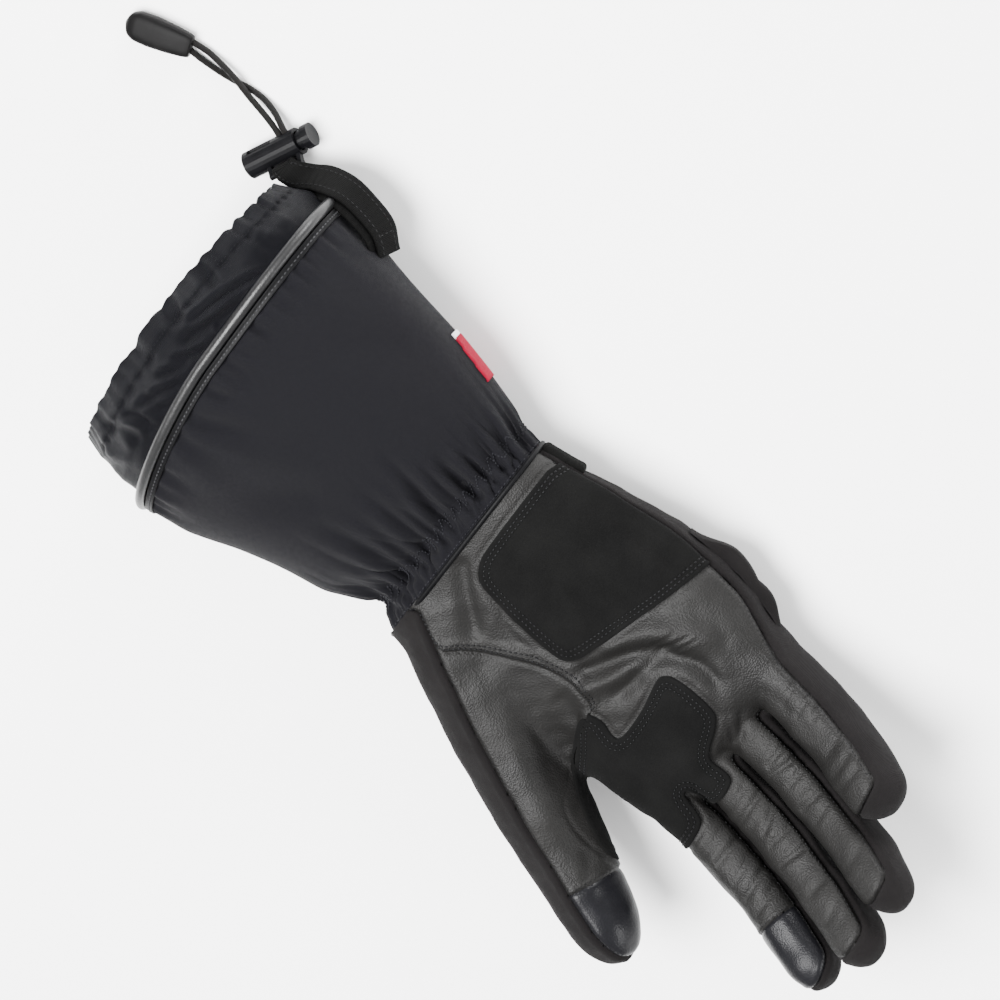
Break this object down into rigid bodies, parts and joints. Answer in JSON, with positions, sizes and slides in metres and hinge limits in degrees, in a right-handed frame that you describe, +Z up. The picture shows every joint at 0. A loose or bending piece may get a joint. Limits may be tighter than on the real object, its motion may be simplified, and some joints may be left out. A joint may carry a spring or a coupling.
{
  "type": "heated glove",
  "caption": "Right-hand winter glove with a flared sleeve, leather palm, suede grip patches, padded knuckles and a drawcord with a press lock at the hem, lying palm up.",
  "frame": {"origin": "under the middle of the glove, without its loose cords, at the floor", "axes": "+Y from the sleeve towards the fingertips, +Z up out of the palm, +X towards the thumb side"},
  "size_m": [0.1822, 0.4322, 0.0696],
  "materials": {
    "leather": "satin, fine grain, black",
    "touch_leather": "smooth and glossier, black",
    "suede": "matt suede, charcoal black",
    "softshell": "matt woven softshell, dark grey",
    "charcoal_softshell": "matt woven softshell, charcoal",
    "nylon": "thin ribbed nylon, dull sheen",
    "piping_leather": "satin grey",
    "webbing": "woven tape, black",
    "lock_plastic": "satin moulded plastic, near black",
    "elastic_cord": "braided elastic, dark grey",
    "pull_rubber": "satin moulded rubber, dark grey",
    "label_tape": "woven tape, pink"
  },
  "bodies": {
    "glove": {"palm_panel": "leather", "back_panel": "charcoal_softshell", "index_front": "leather", "middle_front": "leather", "ring_front": "leather", "little_front": "leather", "thumb_front": "leather", "index_back": "charcoal_softshell", "middle_back": "charcoal_softshell", "ring_back": "charcoal_softshell", "little_back": "charcoal_softshell", "thumb_back": "charcoal_softshell", "index_touch_cap": "touch_leather", "thumb_touch_cap": "touch_leather", "heel_patch": "suede", "grip_patch": "suede", "knuckle_pad": "charcoal_softshell", "wrist_strap": "webbing", "gauntlet": "softshell", "hem_skirt": "nylon", "hem_piping": "piping_leather", "colour_label": "label_tape", "lock_webbing": "webbing", "cord_lock_barrel": "lock_plastic", "cord_a": "elastic_cord", "cord_b": "elastic_cord", "cord_pull": "pull_rubber"},
    "plunger": {"cord_lock_plunger": "lock_plastic"}
  },
  "joints": [
    {"name": "lock_press", "type": "slide", "parent": "glove", "child": "plunger", "axis": [0.9063, -0.4226, 0], "range_m": [0, 0.0025], "stiffness_N_per_m": 1500}
  ]
}
